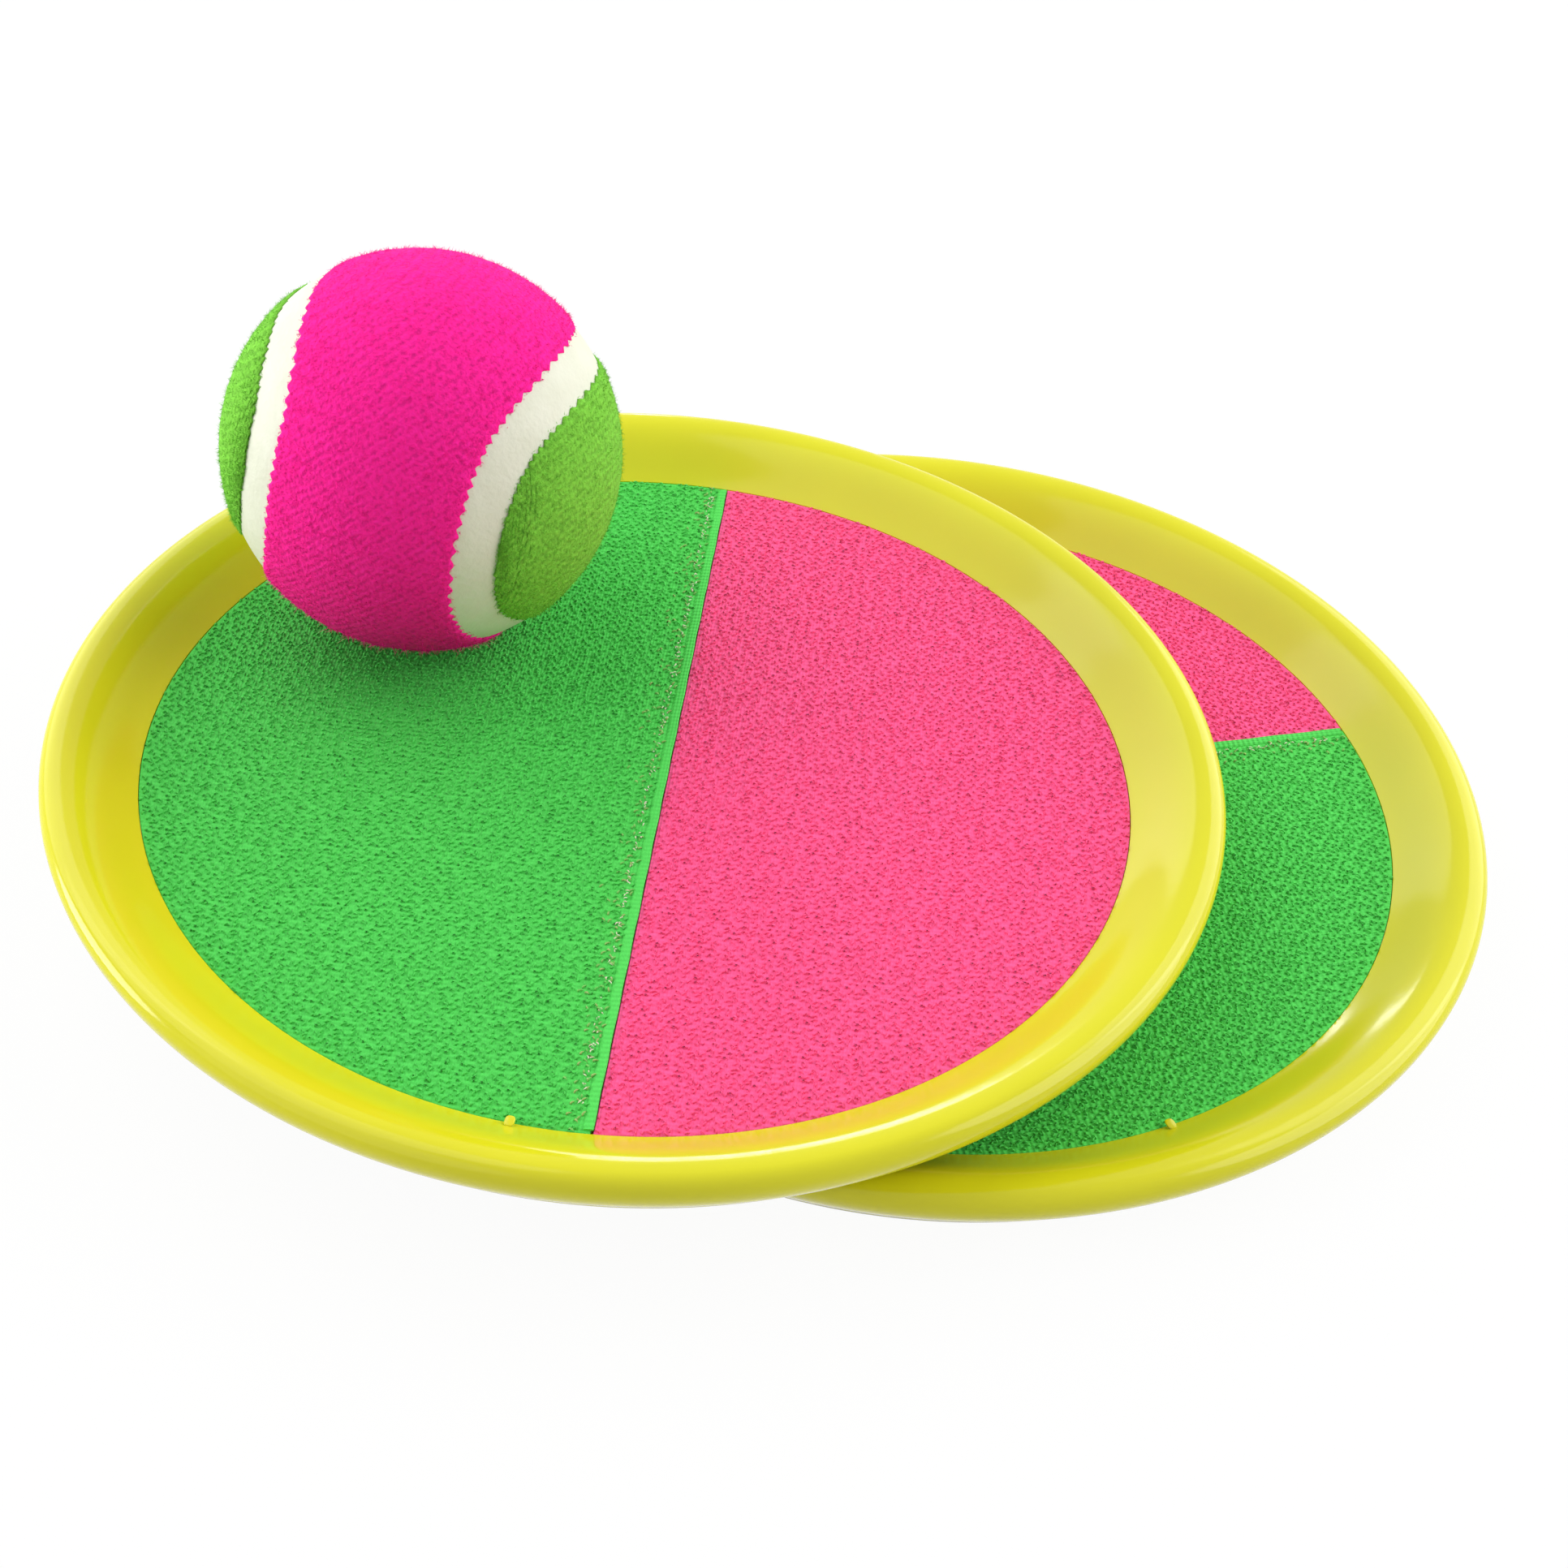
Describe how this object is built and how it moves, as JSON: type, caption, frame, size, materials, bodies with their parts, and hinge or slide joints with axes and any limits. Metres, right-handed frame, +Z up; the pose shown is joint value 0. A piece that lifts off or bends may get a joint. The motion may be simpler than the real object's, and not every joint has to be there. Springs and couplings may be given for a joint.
{
  "type": "hook and loop catch set",
  "caption": "Round catching paddles with rolled plastic rims and green and pink hook fabric faces, with hand straps, and a two-colour felt ball that sticks to them.",
  "frame": {"origin": "under the middle of the set's bounding box, on the surface that the lower paddle's foot ring stands on", "axes": "+Z up, +X from the upper paddle, which overhangs on the left, towards the lower paddle on the right, +Y away from the viewer"},
  "size_m": [0.2372, 0.2041, 0.0859],
  "materials": {
    "plastic": "glossy moulded yellow plastic",
    "green_fabric": "green hook tape with fine rows of hooks",
    "pink_fabric": "pink hook tape with fine rows of hooks",
    "tape": "plain black woven tape",
    "rubber": "matt off-white rubber seam",
    "magenta_felt": "knitted fuzzy magenta felt",
    "lime_felt": "knitted fuzzy lime green felt"
  },
  "bodies": {
    "root": {"lower_shell": "plastic", "lower_green_hooks": "green_fabric", "lower_pink_hooks": "pink_fabric", "lower_strap_hook_tape": "tape", "lower_strap_loop_tape": "tape", "upper_shell": "plastic", "upper_green_hooks": "green_fabric", "upper_pink_hooks": "pink_fabric", "upper_strap_hook_tape": "tape", "upper_strap_loop_tape": "tape", "ball_core": "rubber", "ball_magenta_felt": "magenta_felt", "ball_lime_felt": "lime_felt"}
  },
  "joints": []
}
